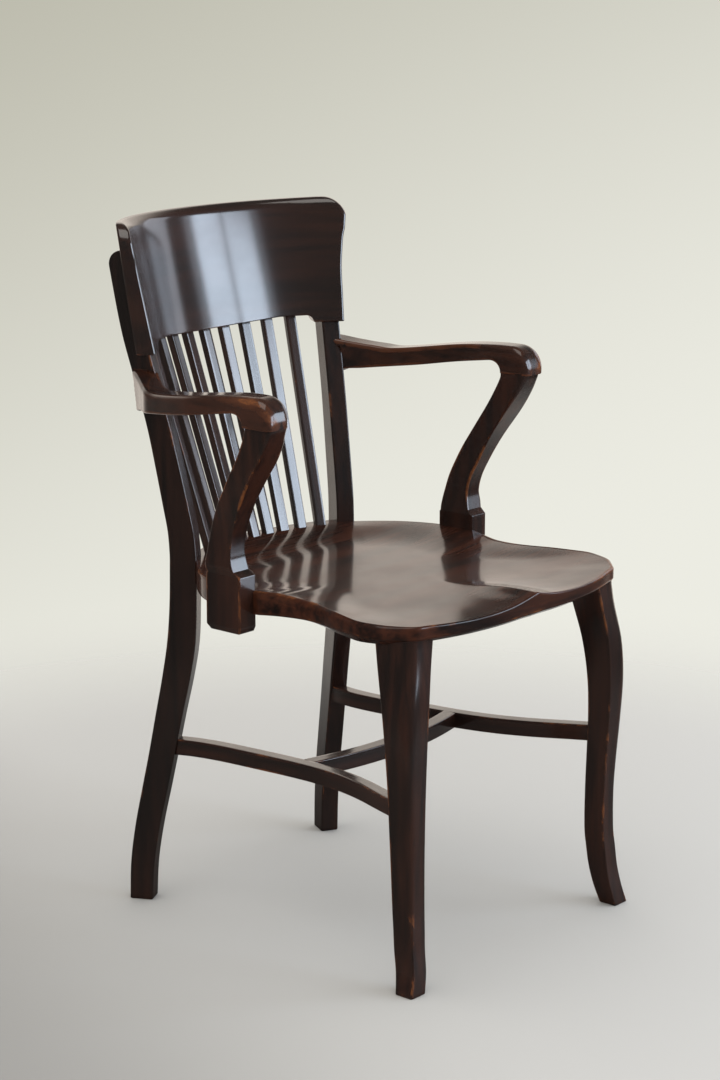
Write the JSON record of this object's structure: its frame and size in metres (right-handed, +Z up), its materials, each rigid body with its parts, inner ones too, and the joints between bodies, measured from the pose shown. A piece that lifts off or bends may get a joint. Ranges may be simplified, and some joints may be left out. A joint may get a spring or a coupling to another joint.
{
  "type": "captains chair",
  "caption": "Wooden captain's chair: saddled seat, curved winged crest rail over a fan of slats, scrolled arms on S-curved supports, sabre legs and bowed stretchers.",
  "frame": {"origin": "on the floor under the middle of the chair's bounding box", "axes": "+X to the sitter's left, -Y the way the chair faces, +Z up"},
  "size_m": [0.5248, 0.5862, 0.871],
  "materials": {
    "seat_wood": "dark red-brown polish, glossy, worn paler along the front and near edges",
    "crest_wood": "dark red-brown polish, glossy, grain along the rail",
    "arm_wood": "dark red-brown polish, worn to orange-brown on the outer edges of the elbows",
    "frame_wood": "dark red-brown polish, glossy, near black in shade, grain along each piece",
    "dowel_wood": "bare pale hardwood",
    "screw_steel": "plain steel"
  },
  "bodies": {
    "root": {"seat": "seat_wood", "crest_rail": "crest_wood", "back_slat_1": "frame_wood", "back_slat_2": "frame_wood", "back_slat_3": "frame_wood", "back_slat_4": "frame_wood", "back_slat_5": "frame_wood", "back_slat_6": "frame_wood", "back_slat_7": "frame_wood", "back_slat_8": "frame_wood", "back_slat_9": "frame_wood", "rear_post_left": "frame_wood", "rear_post_right": "frame_wood", "front_leg_left": "frame_wood", "front_leg_right": "frame_wood", "arm_support_left": "frame_wood", "arm_support_right": "frame_wood", "arm_left": "arm_wood", "arm_right": "arm_wood", "side_stretcher_left": "frame_wood", "side_stretcher_right": "frame_wood", "cross_stretcher": "frame_wood", "crest_dowel_1_left": "dowel_wood", "crest_dowel_1_right": "dowel_wood", "crest_dowel_2_left": "dowel_wood", "crest_dowel_2_right": "dowel_wood", "support_dowel_1_left": "dowel_wood", "support_dowel_1_right": "dowel_wood", "support_dowel_2_left": "dowel_wood", "support_dowel_2_right": "dowel_wood", "elbow_dowel_left": "dowel_wood", "elbow_dowel_right": "dowel_wood", "arm_end_dowel_left": "dowel_wood", "arm_end_dowel_right": "dowel_wood", "post_screw_1_left": "screw_steel", "post_screw_1_right": "screw_steel", "post_screw_2_left": "screw_steel", "post_screw_2_right": "screw_steel", "post_plug_1_left": "frame_wood", "post_plug_1_right": "frame_wood", "post_plug_2_left": "frame_wood", "post_plug_2_right": "frame_wood"}
  },
  "joints": []
}
